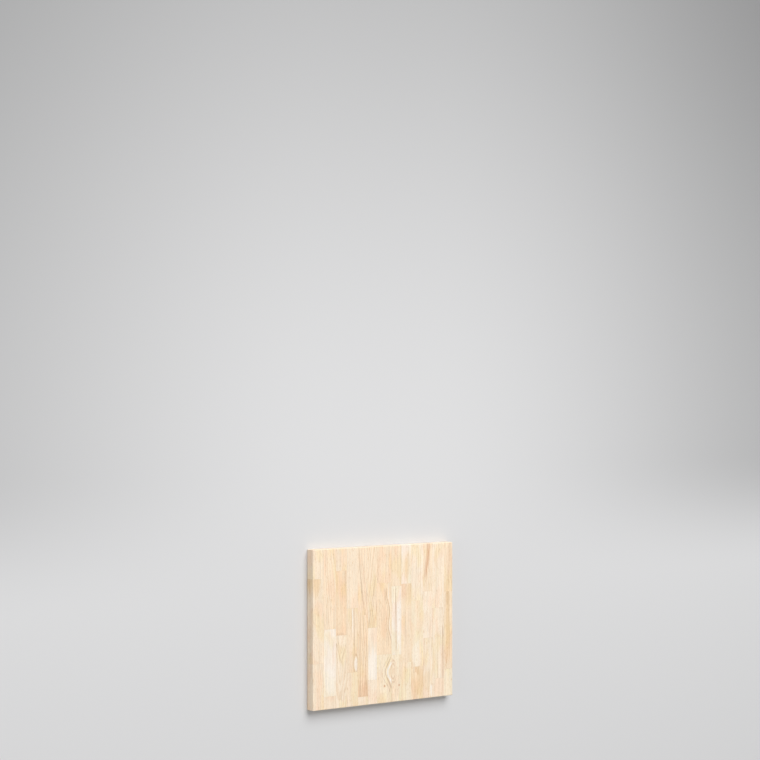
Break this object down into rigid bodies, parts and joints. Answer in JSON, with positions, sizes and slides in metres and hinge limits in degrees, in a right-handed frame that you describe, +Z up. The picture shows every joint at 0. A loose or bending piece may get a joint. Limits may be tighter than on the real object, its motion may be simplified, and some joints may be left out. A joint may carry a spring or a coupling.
{
  "type": "butcher block countertop",
  "caption": "Flat edge-glued hardwood worktop panel of staves laid side by side and end to end, with softly rounded outer edges.",
  "frame": {"origin": "centre of the underside, at the middle of the panel's outline", "axes": "+Z up out of the work surface, +X across the staves (the 635 mm depth), +Y along the staves (the 575 mm length)"},
  "size_m": [0.635, 0.575, 0.038],
  "materials": {
    "pale_wood": "smooth sanded, satin",
    "honey_wood": "smooth sanded, satin",
    "tan_wood": "smooth sanded, satin"
  },
  "bodies": {
    "root": {"row_01_stave_a": "honey_wood", "row_01_stave_b": "pale_wood", "row_01_stave_c": "honey_wood", "row_02_stave_a": "honey_wood", "row_02_stave_b": "pale_wood", "row_02_stave_c": "honey_wood", "row_03_stave_a": "honey_wood", "row_03_stave_b": "tan_wood", "row_03_stave_c": "honey_wood", "row_04_stave_a": "honey_wood", "row_04_stave_b": "honey_wood", "row_04_stave_c": "pale_wood", "row_05_stave_a": "pale_wood", "row_05_stave_b": "tan_wood", "row_05_stave_c": "honey_wood", "row_06_stave_a": "pale_wood", "row_06_stave_b": "pale_wood", "row_06_stave_c": "honey_wood", "row_07_stave_a": "honey_wood", "row_07_stave_b": "tan_wood", "row_07_stave_c": "honey_wood", "row_08_stave_a": "pale_wood", "row_08_stave_b": "pale_wood", "row_08_stave_c": "tan_wood", "row_09_stave_a": "honey_wood", "row_09_stave_b": "tan_wood", "row_09_stave_c": "pale_wood", "row_10_stave_a": "tan_wood", "row_10_stave_b": "pale_wood", "row_10_stave_c": "honey_wood", "row_11_stave_a": "tan_wood", "row_11_stave_b": "pale_wood", "row_11_stave_c": "honey_wood", "row_12_stave_a": "honey_wood", "row_12_stave_b": "pale_wood", "row_12_stave_c": "pale_wood", "row_13_stave_a": "pale_wood", "row_13_stave_b": "tan_wood", "row_13_stave_c": "honey_wood"}
  },
  "joints": []
}
